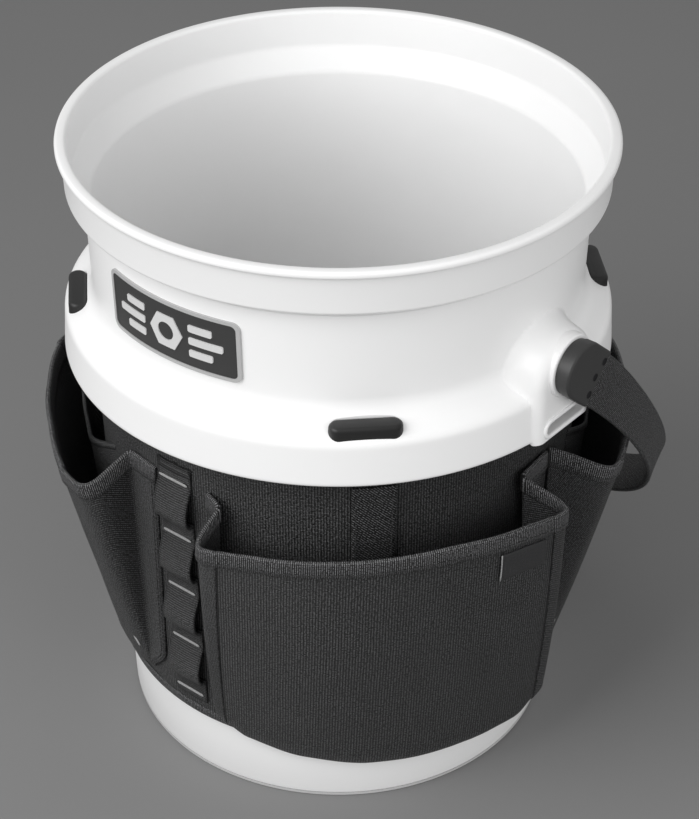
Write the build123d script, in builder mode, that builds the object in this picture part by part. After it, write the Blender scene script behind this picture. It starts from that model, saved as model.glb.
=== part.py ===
from build123d import *
from math import cos, pi, radians, sin, tan
import os

# Tool bucket organizer: a moulded bucket with a swinging strap handle and a fabric
# tool wrap of pockets round its wall. Millimetres, +Z up, origin at the middle of the
# foot. The badge faces -Y and the handle pivots on the X axis direction. An azimuth
# is measured from the badge (-Y) towards +X, so +X is at 90 and +Y at 180 degrees.

# ---- bucket ----
HEIGHT = 370.0  # floor to the top of the lip
WALL_R = 125.9  # outside radius of the wall at the floor
WALL_SLOPE = 0.0336  # growth of that radius per unit of height
WALL_T = 4.4
LIP_R = 150.5  # outside radius of the lip
LIP_T = 4.0
BAND_R = 147.0  # outside radius of the band under the lip
BAND_Z = 344.4  # lower edge of the band
NECK_TOP = (137.0, 337.5)  # radius and height where the neck meets the band
NECK_LOW = (135.6, 279.2)  # corner of the neck and the ledge
LEDGE_EDGE = (151.6, 270.1)  # outer corner of the ledge
SKIRT_R = 153.3  # outside radius at the lower edge of the skirt
SKIRT_Z = 244.5
SKIRT_T = 4.1
FOOT_T = 2.0  # how far the rubber foot ring stands below the wall
FLOOR_T = 4.5

# ---- handle boss and pivot ----
BOSS_X = 154.5  # distance of the flat boss face from the middle
BOSS_HALF = 23.5
BOSS_TOP = 306.0
BOSS_LOW = 243.0
BOSS_TAPER = 24.0
BOSS_EDGE = 7.0  # rounding of the arch round the face
PIVOT_Z = 283.0
COLLAR_R = 17.5
COLLAR_T = 2.0
BUSH_R = 8.0
BUSH_L = 16.0
PIN_R = 5.0
RUNNING_GAP = 0.05  # radial clearance of the pin in its bush
SLOT_Z = 250.0  # tie-down slot under each pivot
SLOT_L = 34.0
SLOT_H = 7.0

# ---- handle ----
HANG_ANGLE = 41.6  # how far below level the strap leaves each knob, towards the back
STRAP_W = 30.0
STRAP_T = 3.2
STRAP_END = (164.0, 81.0)  # y and z of the strap's middle, behind the bucket
STRAP_LEAD = 92.0  # reach of the curve's handle at the knob
STRAP_REACH = 174.0  # reach of the curve's handle at the middle
STRAP_LEAN = 78.0  # tilt of the strap's width back from upright at the middle
STRAP_TWIST = 0.18  # how far the strap's upper edge leans in between knob and middle
STRAP_CURL = 0.16  # extra lean near the knob, undone again near the middle
KNOB_R = 16.0
KNOB_L = 18.0  # pivot to the flat edge where the strap leaves
KNOB_X = 156.8  # inner face of the knob
STRAP_INNER_END = 10.0  # pivot to the end of the strap held in the knob
BACKPLATE_T = 2.6
COVER_T = 6.2
GRIP_FROM = 0.9  # where the grip starts, as a part of the way from knob to middle
GRIP_GAP = 1.2  # room for the strap inside the grip, across both faces

# ---- ledge pads ----
PAD_L = 38.0
PAD_W = 12.0
PAD_R = 145.0
PAD_BASE = 270.2
PAD_TOP = 278.0
PAD_AZIMUTHS = {"front_left": -45, "front_right": 45, "rear_right": 135, "rear_left": 225}

# ---- badge ----
BADGE_W = 88.4
BADGE_H = 36.0
BADGE_Z = 309.0
BADGE_CORNER = 4.5

# ---- fabric wrap ----
BELT_GAP = 0.4
BELT_T = 2.5
BELT_LOW = 45.2
BELT_TOP = 252.0
OPENING = (214.0, 222.0)  # azimuths of the two ends of the wrap
WEB_W = 23.0
WEB_T = 1.5
CHAIN_AZIMUTH = 0.0
CHAIN_LOW = 57.0
CHAIN_TOP = 220.0
TACK_PITCH = 38.1
TACK_LOW = 62.4
TACK_COUNT = 5
LOOP_RISE = 5.5  # how far each loop of webbing stands off the wrap
CLOTH_T = 2.2
BINDING_T = 1.2
BINDING_H = 13.0
CLEAR = 0.2  # space left between neighbouring pieces of cloth
WEBBING_AZIMUTH = 47.3  # middle of the flat webbing behind the front pocket
WEBBING_Z = (60.0, 230.0)
LABEL_AZIMUTHS = (70.8, 81.0)
LABEL_Z = (170.0, 187.0)
LABEL_T = 0.8
DIVIDER_Z = (88.0, 196.0)  # lower and upper edges of the inner slip pockets
DIVIDER_DIP = 34.0  # depth of the V in their upper edge
TAPE_T = 1.2  # thickness of the loop tape and of the hook tape
TAPE_AZIMUTHS = (200.0, 213.0)
TAPE_Z = (60.0, 240.0)
FLAP_Z = (54.0, 246.0)
FLAP_T = 2.2


def wall_radius(z):
    return WALL_R + WALL_SLOPE * z


def belt_radius(z):
    """Outer face of the wrap."""
    return wall_radius(z) + BELT_GAP + BELT_T


def polar(r, azimuth, z):
    a = radians(azimuth)
    return Vector(r * sin(a), -r * cos(a), z)


def radial_plane(azimuth):
    """Vertical plane through the axis: local x is outward, local y is up."""
    a = radians(azimuth)
    return Plane(origin=(0, 0, 0), x_dir=(sin(a), -cos(a), 0), z_dir=(-cos(a), -sin(a), 0))


def facing_plane(azimuth, r, z):
    """Plane square to the radius: local x runs round to the right, local y is up."""
    a = radians(azimuth)
    return Plane(origin=polar(r, azimuth, z), x_dir=(cos(a), sin(a), 0), z_dir=(sin(a), -cos(a), 0))


def finish(piece, name):
    piece.part.label = name
    export_step(piece.part, f"parts/{name}.step")


def band(points, azimuth_from, azimuth_to):
    """Piece of cloth of the given (radius, height) section, carried part way round the bucket."""
    with BuildPart() as piece:
        with BuildSketch(radial_plane(azimuth_from)):
            with BuildLine():
                Polyline(*points, close=True)
            make_face()
        revolve(axis=Axis.Z, revolution_arc=azimuth_to - azimuth_from)
    return piece


# ------------------------------------------------------------------ bucket


def make_boss():
    """One handle boss on +X, hollowed where the skirt is hollow."""
    base_x = WALL_R
    depth = BOSS_X - base_x
    spread = depth * tan(radians(BOSS_TAPER))
    side = Plane(origin=(base_x, 0, 0), x_dir=(0, 1, 0), z_dir=(1, 0, 0))
    with BuildPart() as boss:
        with BuildSketch(side):
            with Locations((0, BOSS_TOP - BOSS_HALF)):
                Circle(BOSS_HALF + spread)
            with Locations((0, (BOSS_TOP - BOSS_HALF + BOSS_LOW) / 2 - spread / 2)):
                Rectangle(2 * (BOSS_HALF + spread), BOSS_TOP - BOSS_HALF - BOSS_LOW + spread)
        extrude(amount=depth, taper=BOSS_TAPER)
        split(bisect_by=Plane.XY.offset(BOSS_LOW), keep=Keep.TOP)
        rim = boss.faces().sort_by(Axis.X)[-1].edges().filter_by(lambda e: e.center().Z > BOSS_LOW + 1)
        fillet(rim, BOSS_EDGE)
        with BuildSketch(Plane.XZ):
            with BuildLine():
                Polyline(
                    (0, 0),
                    (SKIRT_R - SKIRT_T, 0),
                    (SKIRT_R - SKIRT_T - 1.2, 263),
                    (wall_radius(266) - 1, 266),
                    (wall_radius(360) - 1, 360),
                    (0, 360),
                    close=True,
                )
            make_face()
        revolve(axis=Axis.Z, mode=Mode.SUBTRACT)
    return boss


def make_shell():
    inner_low = FOOT_T + 4 + FLOOR_T
    skirt_in = SKIRT_R - SKIRT_T
    ledge_in = wall_radius(266)
    outline = [
        (0, FOOT_T + 4),
        (106, FOOT_T + 4),
        (110, FOOT_T),
        (117.9, FOOT_T),
        (117.9, FOOT_T + 3.2),
        (122.1, FOOT_T + 3.2),
        (122.1, FOOT_T),
        (wall_radius(FOOT_T), FOOT_T),
        (ledge_in, 266),
        (skirt_in - 1.2, 263),
        (skirt_in, SKIRT_Z),
        (SKIRT_R, SKIRT_Z),
        LEDGE_EDGE,
        NECK_LOW,
        NECK_TOP,
        (BAND_R - 0.2, BAND_Z),
        (BAND_R + 0.5, HEIGHT - LIP_T),
        (LIP_R, HEIGHT - LIP_T),
        (LIP_R, HEIGHT),
        (144.0, HEIGHT),
        (143.3, 348.0),
        (132.9, 336.0),
        (wall_radius(inner_low) - WALL_T, inner_low),
        (0, inner_low),
    ]
    rounds = [
        (wall_radius(FOOT_T), FOOT_T, 1.5),
        (SKIRT_R, SKIRT_Z, 1.5),
        (*LEDGE_EDGE, 6.0),
        (*NECK_LOW, 14.0),
        (*NECK_TOP, 1.5),
        (BAND_R - 0.2, BAND_Z, 2.2),
        (LIP_R, HEIGHT - LIP_T, 1.2),
        (LIP_R, HEIGHT, 1.8),
        (144.0, HEIGHT, 2.0),
        (143.3, 348.0, 5.0),
        (132.9, 336.0, 6.0),
        (wall_radius(inner_low) - WALL_T, inner_low, 10.0),
    ]
    boss = make_boss()
    with BuildPart() as shell:
        with BuildSketch(Plane.XZ) as section:
            with BuildLine():
                Polyline(*outline, close=True)
            make_face()
            for r, z, radius in rounds:
                fillet(section.vertices().sort_by_distance((r, z))[0], radius)
        revolve(axis=Axis.Z)
        add(boss.part)
        add(mirror(boss.part, about=Plane.YZ, mode=Mode.PRIVATE))
        for side in (1, -1):
            face = Plane(origin=(side * BOSS_X, 0, 0), x_dir=(0, side, 0), z_dir=(side, 0, 0))
            with BuildSketch(face.offset(-4)):
                with Locations((0, PIVOT_Z)):
                    Circle(COLLAR_R)
            extrude(amount=4 + COLLAR_T)
            with BuildSketch(face.offset(-4)):
                with Locations((0, SLOT_Z)):
                    SlotOverall(SLOT_L + 5, SLOT_H + 4)
            extrude(amount=5)
            with BuildSketch(face.offset(-8)):
                with Locations((0, SLOT_Z)):
                    SlotOverall(SLOT_L, SLOT_H)
            extrude(amount=12, mode=Mode.SUBTRACT)
            with BuildSketch(face.offset(COLLAR_T)):
                with Locations((0, PIVOT_Z)):
                    Circle(BUSH_R)
            extrude(amount=-BUSH_L, mode=Mode.SUBTRACT)
        for azimuth in PAD_AZIMUTHS.values():
            with BuildSketch(pad_plane(azimuth)):
                SlotOverall(PAD_L + 0.2, PAD_W + 0.2)
            extrude(amount=15, mode=Mode.SUBTRACT)
    return shell


def pad_plane(azimuth):
    a = radians(azimuth)
    return Plane(origin=polar(PAD_R, azimuth, PAD_BASE), x_dir=(cos(a), sin(a), 0), z_dir=(0, 0, 1))


def make_foot_ring():
    with BuildPart() as ring:
        with BuildSketch(Plane.XZ):
            with BuildLine():
                Polyline(
                    (111, 0),
                    (125.2, 0),
                    (125.8, 0.7),
                    (125.8, FOOT_T),
                    (122, FOOT_T),
                    (122, FOOT_T + 3),
                    (118, FOOT_T + 3),
                    (118, FOOT_T),
                    (111, FOOT_T),
                    close=True,
                )
            make_face()
        revolve(axis=Axis.Z)
    return ring


def make_pad(azimuth):
    with BuildPart() as pad:
        with BuildSketch(pad_plane(azimuth)):
            SlotOverall(PAD_L, PAD_W)
        extrude(amount=PAD_TOP - PAD_BASE)
        fillet(pad.faces().sort_by(Axis.Z)[-1].edges(), 2.2)
    return pad


# ------------------------------------------------------------------ badge


def neck_layer(low, high):
    """Ring between two distances out from the neck, used to curve the badge pieces."""
    slope = (NECK_TOP[0] - NECK_LOW[0]) / (NECK_TOP[1] - NECK_LOW[1])
    foot = BADGE_Z - BADGE_H
    head = BADGE_Z + BADGE_H
    r_foot = NECK_LOW[0] + (foot - NECK_LOW[1]) * slope
    r_head = NECK_LOW[0] + (head - NECK_LOW[1]) * slope
    outline = [(r_foot + low, foot), (r_foot + high, foot), (r_head + high, head), (r_head + low, head)]
    with BuildPart() as ring:
        with BuildSketch(Plane.XZ):
            with BuildLine():
                Polyline(*outline, close=True)
            make_face()
        revolve(axis=Axis.Z)
    return ring.part


def make_badge_bezel():
    with BuildPart() as bezel:
        with BuildSketch(facing_plane(0, 100, BADGE_Z)):
            RectangleRounded(BADGE_W, BADGE_H, BADGE_CORNER)
            RectangleRounded(BADGE_W - 4, BADGE_H - 4, BADGE_CORNER - 1.5, mode=Mode.SUBTRACT)
        extrude(amount=50)
        add(neck_layer(0.05, 1.3), mode=Mode.INTERSECT)
    return bezel


def make_badge_plate():
    with BuildPart() as plate:
        with BuildSketch(facing_plane(0, 100, BADGE_Z)):
            RectangleRounded(BADGE_W - 4.2, BADGE_H - 4.2, BADGE_CORNER - 1.6)
        extrude(amount=50)
        add(neck_layer(0.05, 0.9), mode=Mode.INTERSECT)
    return plate


def make_badge_emblem():
    """A plain hexagon nut between two stacks of level bars, each bar a separate solid."""
    with BuildPart() as emblem:
        with BuildSketch(facing_plane(0, 100, BADGE_Z)):
            RegularPolygon(11.0, 6)
            Circle(5.2, mode=Mode.SUBTRACT)
            for row, length in ((-7.5, 14), (0, 20), (7.5, 14)):
                with Locations((-15 - length / 2, row), (15 + length / 2, row)):
                    RectangleRounded(length, 4.2, 1.0)
        extrude(amount=50)
        add(neck_layer(0.95, 1.6), mode=Mode.INTERSECT)
    return emblem


# ------------------------------------------------------------------ pivot and handle


def side_plane(side, x):
    """Plane square to X through the pivot height, facing outward, with local y up."""
    return Plane(origin=(side * x, 0, PIVOT_Z), x_dir=(0, side, 0), z_dir=(side, 0, 0))


def strap_side_plane(side, x):
    """As side_plane, with local y running out along the hanging strap."""
    a = radians(HANG_ANGLE)
    return Plane(origin=(side * x, 0, PIVOT_Z), x_dir=(0, -side * sin(a), -side * cos(a)), z_dir=(side, 0, 0))


def make_bush(side):
    with BuildPart() as bush:
        with BuildSketch(side_plane(side, BOSS_X + COLLAR_T - BUSH_L)):
            Circle(BUSH_R)
        extrude(amount=BUSH_L)
        with BuildSketch(side_plane(side, BOSS_X + COLLAR_T - BUSH_L + 1.5)):
            Circle(PIN_R + RUNNING_GAP)
        extrude(amount=BUSH_L, mode=Mode.SUBTRACT)
    return bush


def knob_outline(inset=0.0):
    Circle(KNOB_R - inset)
    with Locations((0, KNOB_L / 2)):
        Rectangle(2 * (KNOB_R - inset), KNOB_L - inset)


def screw_places():
    return Locations((-9.5, KNOB_L - 4), (0, KNOB_L - 6), (9.5, KNOB_L - 4))


def make_backplate(side):
    with BuildPart() as plate:
        with BuildSketch(strap_side_plane(side, KNOB_X)):
            knob_outline(0.6)
            Circle(PIN_R, mode=Mode.SUBTRACT)
            with screw_places():
                Circle(1.3, mode=Mode.SUBTRACT)
        extrude(amount=BACKPLATE_T)
    return plate


def make_cover(side):
    inner = KNOB_X + BACKPLATE_T
    with BuildPart() as cover:
        with BuildSketch(strap_side_plane(side, inner)):
            knob_outline()
        extrude(amount=COVER_T)
        outer = cover.faces().sort_by(Axis.X)[-1 if side > 0 else 0]
        fillet(outer.edges(), 1.8)
        with BuildSketch(strap_side_plane(side, inner)):
            with Locations((0, KNOB_L)):
                Rectangle(STRAP_W + 0.3, 2 * (KNOB_L - STRAP_INNER_END + 0.4))
        extrude(amount=STRAP_T + 0.3, mode=Mode.SUBTRACT)
        with BuildSketch(strap_side_plane(side, inner)):
            Circle(9.1)
        extrude(amount=2.2, mode=Mode.SUBTRACT)
        with BuildSketch(strap_side_plane(side, inner)):
            with screw_places():
                Circle(1.6)
        extrude(amount=COVER_T, mode=Mode.SUBTRACT)
        with BuildSketch(strap_side_plane(side, inner + COVER_T - 1.4)):
            with screw_places():
                Circle(2.2)
        extrude(amount=3, mode=Mode.SUBTRACT)
    return cover


def make_pin(side):
    """Pivot pin with a flange that the knob cover and its backplate hold between them."""
    inner_end = BOSS_X + COLLAR_T - BUSH_L + 2.0
    with BuildPart() as pin:
        with BuildSketch(side_plane(side, inner_end)):
            Circle(PIN_R)
        extrude(amount=KNOB_X + BACKPLATE_T + 1 - inner_end)
        chamfer(pin.faces().sort_by(Axis.X)[0 if side > 0 else -1].edges(), 0.8)
        with BuildSketch(side_plane(side, KNOB_X + BACKPLATE_T + 0.05)):
            Circle(9.0)
        extrude(amount=2.0)
    return pin


def make_screws(side):
    inner = KNOB_X + 0.4
    outer = KNOB_X + BACKPLATE_T + COVER_T - 0.2
    with BuildPart() as screws:
        with BuildSketch(strap_side_plane(side, inner)):
            with screw_places():
                Circle(1.3)
        extrude(amount=outer - inner)
        with BuildSketch(strap_side_plane(side, outer - 1.1)):
            with screw_places():
                Circle(2.05)
        extrude(amount=1.1)
    return screws


def strap_mid_x():
    """Distance from the middle of the bucket to the centre of the strap's thickness in the knob."""
    return KNOB_X + BACKPLATE_T + 0.15 + STRAP_T / 2


def strap_station(u):
    """Plane square to the strap on the +X side, from the knob (u = 0) to the middle (u = 1).

    Local x runs across the strap's width. Negative u runs back into the knob, in millimetres.
    """
    a = radians(HANG_ANGLE)
    lean = radians(STRAP_LEAN)
    out = Vector(0, cos(a), -sin(a))
    knob_width = Vector(0, sin(a), cos(a))
    start = Vector(strap_mid_x(), 0, PIVOT_Z) + out * (KNOB_L + 2)
    if u < 0:
        return Plane(origin=start + out * u, x_dir=knob_width, z_dir=out)
    end = Vector(0, *STRAP_END)
    lead = start + out * STRAP_LEAD
    reach = end + Vector(STRAP_REACH, 0, 0)
    v = 1 - u
    place = start * v**3 + lead * (3 * v * v * u) + reach * (3 * v * u * u) + end * u**3
    along = ((lead - start) * (v * v) + (reach - lead) * (2 * v * u) + (end - reach) * (u * u)).normalized()
    turn = STRAP_TWIST * sin(pi * u) + STRAP_CURL * sin(2 * pi * u)
    width = knob_width * v + Vector(0, sin(lean), cos(lean)) * u - Vector(turn, 0, 0)
    return Plane(origin=place, x_dir=width - along * width.dot(along), z_dir=along)


def strap_stations(values):
    """Stations from one side to the other: those given, then the same ones mirrored."""
    near = [strap_station(u) for u in values]
    far = [
        Plane(
            origin=(-p.origin.X, p.origin.Y, p.origin.Z),
            x_dir=(-p.x_dir.X, p.x_dir.Y, p.x_dir.Z),
            z_dir=(p.z_dir.X, -p.z_dir.Y, -p.z_dir.Z),
        )
        for p in reversed(near)
    ]
    return near + (far[1:] if values[-1] == 1 else far)


def make_strap():
    eighths = [i / 8 for i in range(9)]
    with BuildPart() as strap:
        inside = KNOB_L + 2 - STRAP_INNER_END
        for station in strap_stations([-inside, -inside / 2] + eighths):
            with BuildSketch(station):
                Rectangle(STRAP_W, STRAP_T)
        loft()
        for side in (1, -1):
            with BuildSketch(strap_side_plane(side, KNOB_X)):
                with screw_places():
                    Circle(1.6)
            extrude(amount=10, mode=Mode.SUBTRACT)
    return strap


def make_grip():
    """Soft sleeve round the middle of the strap."""
    middle = (1 + GRIP_FROM) / 2
    with BuildPart() as grip:
        for station in strap_stations([GRIP_FROM, middle, 1]):
            with BuildSketch(station):
                RectangleRounded(STRAP_W + 4.8, STRAP_T + 4.8, 3.0)
        loft()
        for station in strap_stations([GRIP_FROM - 0.02, middle, 1]):
            with BuildSketch(station):
                Rectangle(STRAP_W + GRIP_GAP, STRAP_T + GRIP_GAP)
        loft(mode=Mode.SUBTRACT)
    return grip


# ------------------------------------------------------------------ fabric wrap


def layer(z_low, z_high, low, high):
    """Section lying between two distances out from the face of the wrap."""
    return [
        (belt_radius(z_low) + low, z_low),
        (belt_radius(z_low) + high, z_low),
        (belt_radius(z_high) + high, z_high),
        (belt_radius(z_high) + low, z_high),
    ]


def make_belt():
    return band(layer(BELT_LOW, BELT_TOP, -BELT_T, 0), OPENING[1] - 360, OPENING[0])


def make_edge_binding(z_edge, inward):
    """Tape folded over one edge of the wrap; inward is +1 at the lower edge and -1 at the upper."""
    lip = z_edge - inward * CLEAR / 2
    rim = lip - inward * 1.0
    leg = z_edge + inward * 6.0
    points = [
        (belt_radius(lip) - BELT_T, lip),
        (belt_radius(rim) - BELT_T, rim),
        (belt_radius(rim) + 1.0, rim),
        (belt_radius(leg) + 1.0, leg),
        (belt_radius(leg) + 0.05, leg),
        (belt_radius(lip) + 0.05, lip),
    ]
    return band(points, OPENING[1] - 360, OPENING[0])


def tack_heights():
    return [TACK_LOW + TACK_PITCH * i for i in range(TACK_COUNT)]


def make_daisy_chain(azimuth):
    """Strip of webbing held down at each tack and standing off in a loop between tacks."""
    stops = tack_heights()
    half = 3.0

    def face(z, out):
        return belt_radius(z) + 0.1 + out, z

    with BuildPart() as chain:
        with BuildSketch(radial_plane(azimuth)):
            with BuildLine():
                Polyline(face(CHAIN_LOW, WEB_T), face(CHAIN_LOW, 0), face(stops[0] + half, 0))
                Polyline(face(CHAIN_LOW, WEB_T), face(stops[0] + half, WEB_T))
                for low, high in zip(stops, stops[1:]):
                    middle = (low + high) / 2
                    for out in (0.0, WEB_T):
                        ThreePointArc(
                            face(low + half, out),
                            face(middle, out + LOOP_RISE),
                            face(high - half, out),
                        )
                        end = high + half if high != stops[-1] else CHAIN_TOP
                        Line(face(high - half, out), face(end, out))
                Line(face(CHAIN_TOP, 0), face(CHAIN_TOP, WEB_T))
            make_face()
        extrude(amount=WEB_W / 2, both=True)
    return chain


def make_bar_tacks(marks):
    """Dense rows of thread: one at each stop of the chain and one low on each side pocket."""
    with BuildPart() as tacks:
        for z in tack_heights():
            with BuildSketch(facing_plane(CHAIN_AZIMUTH, belt_radius(z) + WEB_T + 0.15, z)):
                Rectangle(WEB_W - 3, 2.2)
            extrude(amount=0.6)
        for azimuth, r, z in marks:
            with BuildSketch(facing_plane(azimuth, r, z)):
                Rectangle(6, 2.2)
            extrude(amount=0.6)
    return tacks


class Pocket:
    """Open-topped pocket: a slanting front with a folded gusset at each end."""

    def __init__(self, edges, corners, z_attach, z_mouth, r_mouth, z_foot):
        self.edges = edges
        self.corners = corners
        self.z_attach = z_attach
        self.z_mouth = z_mouth
        self.r_mouth = r_mouth
        self.z_foot = z_foot
        self.r_foot = max(belt_radius(z_foot), belt_radius(BELT_LOW) + 1.0) + CLEAR
        self.slope = (r_mouth - CLOTH_T - self.r_foot) / (z_mouth - z_foot)

    def inner(self, z, out=0.0):
        """Inner face of the front at height z, moved outward by out."""
        return self.r_foot + (z - self.z_foot) * self.slope + out, z

    def fold(self, end):
        """Plane of the gusset at one end (0 or 1), its local z pointing away from the pocket."""
        foot = polar(self.r_foot, self.edges[end], self.z_foot)
        head = polar(belt_radius(self.z_attach) + CLEAR, self.edges[end], self.z_attach)
        corner = polar(self.r_mouth, self.corners[end], self.z_mouth)
        a = radians(self.edges[end])
        away = Vector(cos(a), sin(a), 0) * (1 if end else -1)
        normal = (head - foot).cross(corner - foot)
        if normal.dot(away) < 0:
            normal = normal * -1
        return Plane(origin=foot, x_dir=head - foot, z_dir=normal), (foot, head, corner)

    def trimmed(self, points):
        """Cloth of the given section, cut off at both gussets."""
        with BuildPart() as piece:
            with BuildSketch(radial_plane(min(self.edges) - 2)):
                with BuildLine():
                    Polyline(*points, close=True)
                make_face()
            revolve(axis=Axis.Z, revolution_arc=abs(self.edges[1] - self.edges[0]) + 4)
            for end in (0, 1):
                split(bisect_by=self.fold(end)[0].offset(-CLEAR), keep=Keep.BOTTOM)
        return piece

    def front(self):
        z0, z1 = self.z_foot, self.z_mouth
        section = [self.inner(z0), self.inner(z0, CLOTH_T), self.inner(z1, CLOTH_T), self.inner(z1)]
        return self.trimmed(section)

    def gusset(self, end):
        plane, corners = self.fold(end)
        with BuildPart() as piece:
            with BuildSketch(plane):
                Polygon(*[plane.to_local_coords(p) for p in corners], align=None)
            extrude(amount=CLOTH_T * 0.8)
        return piece

    def binding(self):
        z0, z1 = self.z_mouth - BINDING_H, self.z_mouth
        out = CLOTH_T + CLEAR / 2
        points = [
            self.inner(z0, out),
            self.inner(z0, out + BINDING_T),
            self.inner(z1 + BINDING_T, out + BINDING_T),
            self.inner(z1 + BINDING_T, 0),
            self.inner(z1 + CLEAR / 2, 0),
            self.inner(z1 + CLEAR / 2, out),
        ]
        return self.trimmed(points)

    def divider(self, z_low, z_high, dip):
        """Inner slip pocket against the wrap, its top edge dipping to a V."""
        middle = sum(self.edges) / 2
        with BuildPart() as piece:
            with BuildSketch(radial_plane(min(self.edges) + 8)):
                with BuildLine():
                    Polyline(*layer(z_low, z_high, 2.5, 4.1), close=True)
                make_face()
            revolve(axis=Axis.Z, revolution_arc=abs(self.edges[1] - self.edges[0]) - 16)
            with BuildSketch(facing_plane(middle, 60, 0)):
                Polygon((-60, z_high + 1), (0, z_high - dip), (60, z_high + 1), align=None)
            extrude(amount=120, mode=Mode.SUBTRACT)
        return piece

    def mark(self, azimuth, z):
        return azimuth, self.inner(z, CLOTH_T + 0.3)[0], z


FRONT_POCKET = Pocket((9.3, 94.5), (11.5, 89.0), 213.0, 202.0, 163.5, 33.0)
LEFT_POCKET = Pocket((-82.0, -6.5), (-70.0, -18.5), 214.0, 201.0, 169.0, 52.0)
RIGHT_POCKET = Pocket((97.0, 166.0), (100.5, 152.5), 214.0, 201.0, 168.0, 52.0)


def make_pocket_webbing():
    """Flat vertical webbing behind the front pocket, boxed and stitched to the wrap."""
    points = layer(*WEBBING_Z, 0.1, 0.1 + WEB_T)
    half = WEB_W / 2 / belt_radius(150) * 180 / pi
    return band(points, WEBBING_AZIMUTH - half, WEBBING_AZIMUTH + half)


def make_label():
    out = CLOTH_T + 0.15
    pocket = FRONT_POCKET
    low, high = LABEL_Z
    points = [
        pocket.inner(low, out),
        pocket.inner(low, out + LABEL_T),
        pocket.inner(high, out + LABEL_T),
        pocket.inner(high, out),
    ]
    return band(points, *LABEL_AZIMUTHS)


def make_closure():
    """Overlap at the back: loop tape on the end of the wrap, hook tape inside a flap."""
    hook_in = 0.1 + TAPE_T + 0.1
    flap_in = hook_in + TAPE_T + 0.1
    start = TAPE_AZIMUTHS[0] - 2
    step = OPENING[1] + 0.5
    low, high = FLAP_Z
    loop = band(layer(*TAPE_Z, 0.1, 0.1 + TAPE_T), *TAPE_AZIMUTHS)
    hook = band(layer(*TAPE_Z, hook_in, hook_in + TAPE_T), *TAPE_AZIMUTHS)
    with BuildPart() as flap:
        with BuildSketch(radial_plane(start)):
            with BuildLine():
                Polyline(*layer(low, high, flap_in, flap_in + FLAP_T), close=True)
            make_face()
        revolve(axis=Axis.Z, revolution_arc=step + 2 - start)
        with BuildSketch(radial_plane(step)):
            with BuildLine():
                Polyline(*layer(low, high - 3, CLEAR, flap_in + 0.7), close=True)
            make_face()
        revolve(axis=Axis.Z, revolution_arc=12)
    return loop, hook, flap


# ------------------------------------------------------------------ build

os.makedirs("parts", exist_ok=True)

finish(make_shell(), "bucket_shell")
finish(make_foot_ring(), "foot_ring")
finish(make_badge_bezel(), "badge_bezel")
finish(make_badge_plate(), "badge_plate")
finish(make_badge_emblem(), "badge_emblem")
for place, azimuth in PAD_AZIMUTHS.items():
    finish(make_pad(azimuth), f"ledge_pad_{place}")

for name, side in (("left", -1), ("right", 1)):
    finish(make_bush(side), f"pivot_bush_{name}")
    finish(make_pin(side), f"pivot_pin_{name}")
    finish(make_backplate(side), f"knob_backplate_{name}")
    finish(make_cover(side), f"knob_cover_{name}")
    finish(make_screws(side), f"knob_screws_{name}")
finish(make_strap(), "handle_strap")
finish(make_grip(), "handle_grip")

finish(make_belt(), "belt_panel")
finish(make_edge_binding(BELT_LOW, 1), "belt_bottom_binding")
finish(make_edge_binding(BELT_TOP, -1), "belt_top_binding")
finish(make_daisy_chain(CHAIN_AZIMUTH), "daisy_chain_front")
marks = [LEFT_POCKET.mark(-22, 74), RIGHT_POCKET.mark(108, 74)]
finish(make_bar_tacks(marks), "bar_tacks")

finish(FRONT_POCKET.front(), "front_pocket_panel")
finish(FRONT_POCKET.gusset(0), "front_pocket_gusset_left")
finish(FRONT_POCKET.gusset(1), "front_pocket_gusset_right")
finish(FRONT_POCKET.binding(), "front_pocket_binding")
finish(make_pocket_webbing(), "pocket_webbing_strip")
finish(make_label(), "front_label")
for name, pocket, ends in (
    ("left", LEFT_POCKET, ("rear", "front")),
    ("right", RIGHT_POCKET, ("front", "rear")),
):
    finish(pocket.front(), f"{name}_pocket_panel")
    for end in (0, 1):
        finish(pocket.gusset(end), f"{name}_pocket_gusset_{ends[end]}")
    finish(pocket.binding(), f"{name}_pocket_binding")
    finish(pocket.divider(*DIVIDER_Z, DIVIDER_DIP), f"{name}_pocket_divider")

loop_strip, hook_strip, closure_flap = make_closure()
finish(loop_strip, "loop_strip")
finish(hook_strip, "hook_strip")
finish(closure_flap, "closure_flap")
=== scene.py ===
from math import atan2, ceil, cos, degrees, hypot, pi, radians, sin, sqrt, tan

import bmesh
import bpy
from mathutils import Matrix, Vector, noise


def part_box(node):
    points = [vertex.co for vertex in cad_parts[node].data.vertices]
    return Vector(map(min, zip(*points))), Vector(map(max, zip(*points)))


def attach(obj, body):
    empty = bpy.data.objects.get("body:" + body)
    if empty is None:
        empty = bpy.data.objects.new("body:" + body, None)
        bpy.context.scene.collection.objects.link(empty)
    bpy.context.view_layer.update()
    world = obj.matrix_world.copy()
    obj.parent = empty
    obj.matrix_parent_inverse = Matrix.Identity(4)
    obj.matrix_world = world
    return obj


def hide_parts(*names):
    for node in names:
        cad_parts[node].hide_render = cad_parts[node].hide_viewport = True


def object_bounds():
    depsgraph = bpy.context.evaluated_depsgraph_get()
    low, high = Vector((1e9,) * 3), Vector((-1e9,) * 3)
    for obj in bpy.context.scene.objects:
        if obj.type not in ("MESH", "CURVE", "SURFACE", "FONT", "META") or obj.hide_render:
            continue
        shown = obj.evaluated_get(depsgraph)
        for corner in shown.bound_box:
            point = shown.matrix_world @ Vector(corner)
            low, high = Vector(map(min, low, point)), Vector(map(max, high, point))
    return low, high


# Tool bucket organizer: white moulded bucket, dark fabric wrap with pockets, swinging strap
# handle. Sizes are millimetres and are turned into metres where a mesh is made. An azimuth
# is measured from the badge (-Y) towards +X, so +X is at 90 and +Y at 180 degrees.

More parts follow.
